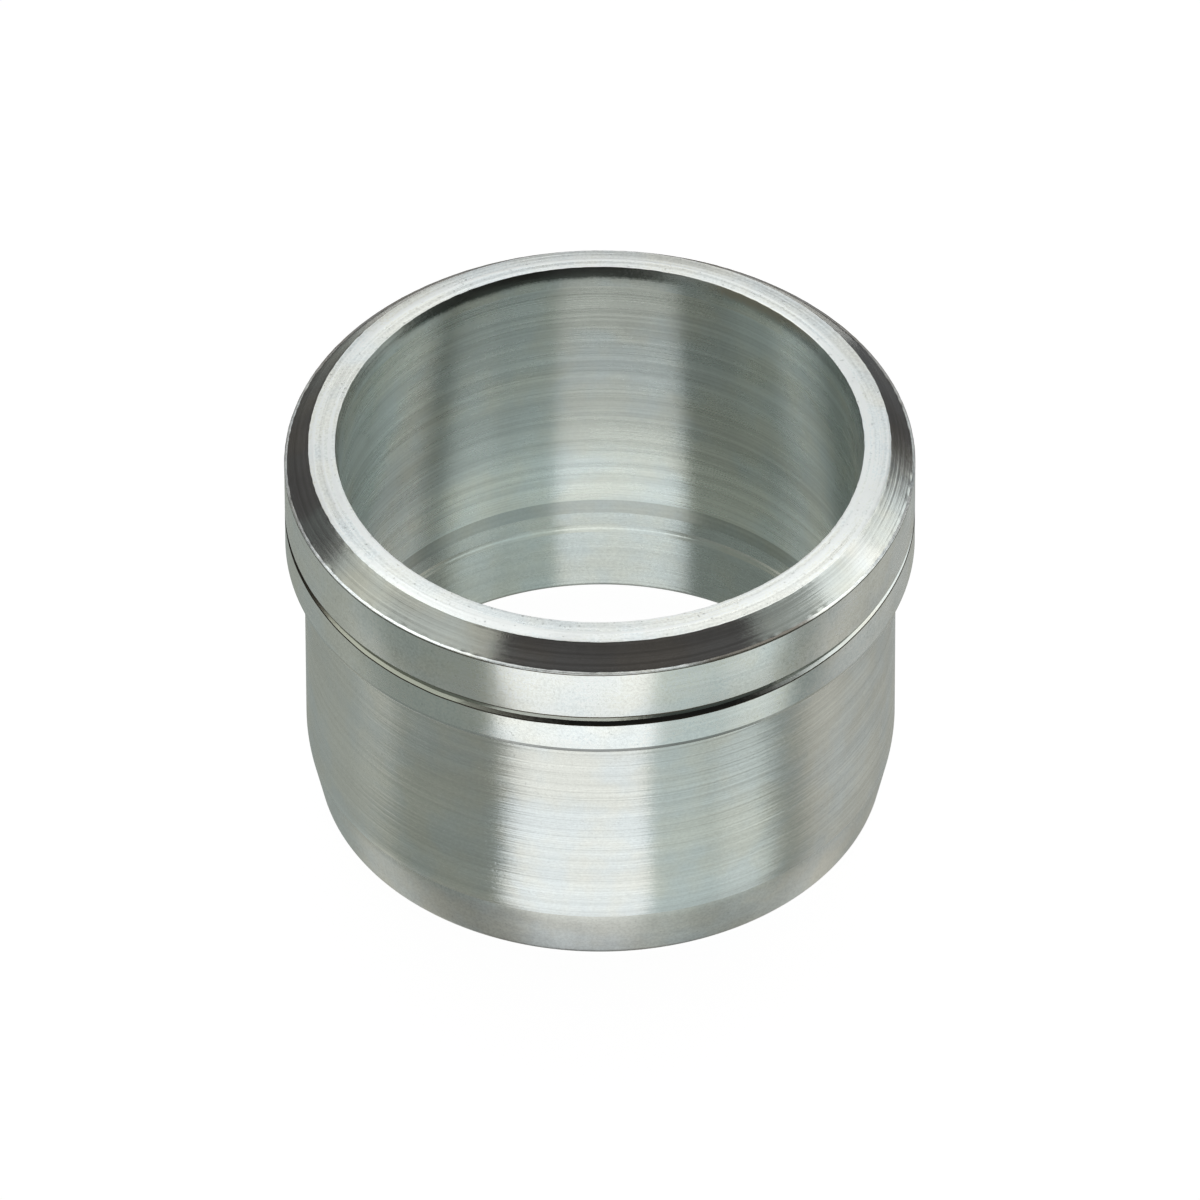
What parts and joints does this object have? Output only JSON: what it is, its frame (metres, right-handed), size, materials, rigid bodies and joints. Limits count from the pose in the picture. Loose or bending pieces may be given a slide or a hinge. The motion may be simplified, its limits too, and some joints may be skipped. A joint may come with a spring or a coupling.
{
  "type": "compression olive",
  "caption": "Turned ring that slides over a tube and is squeezed between fitting body and nut, with a chamfered and grooved collar, a tapered nose and an inner cutting edge.",
  "frame": {"origin": "middle of the nose rim, on the surface that the ring stands on", "axes": "+Z along the ring's axis, from the nose up to the flat face"},
  "size_m": [0.0098, 0.0098, 0.0068],
  "materials": {
    "plated_steel": "bright zinc plating over fine turning marks, satin"
  },
  "bodies": {
    "root": {"olive": "plated_steel"}
  },
  "joints": []
}
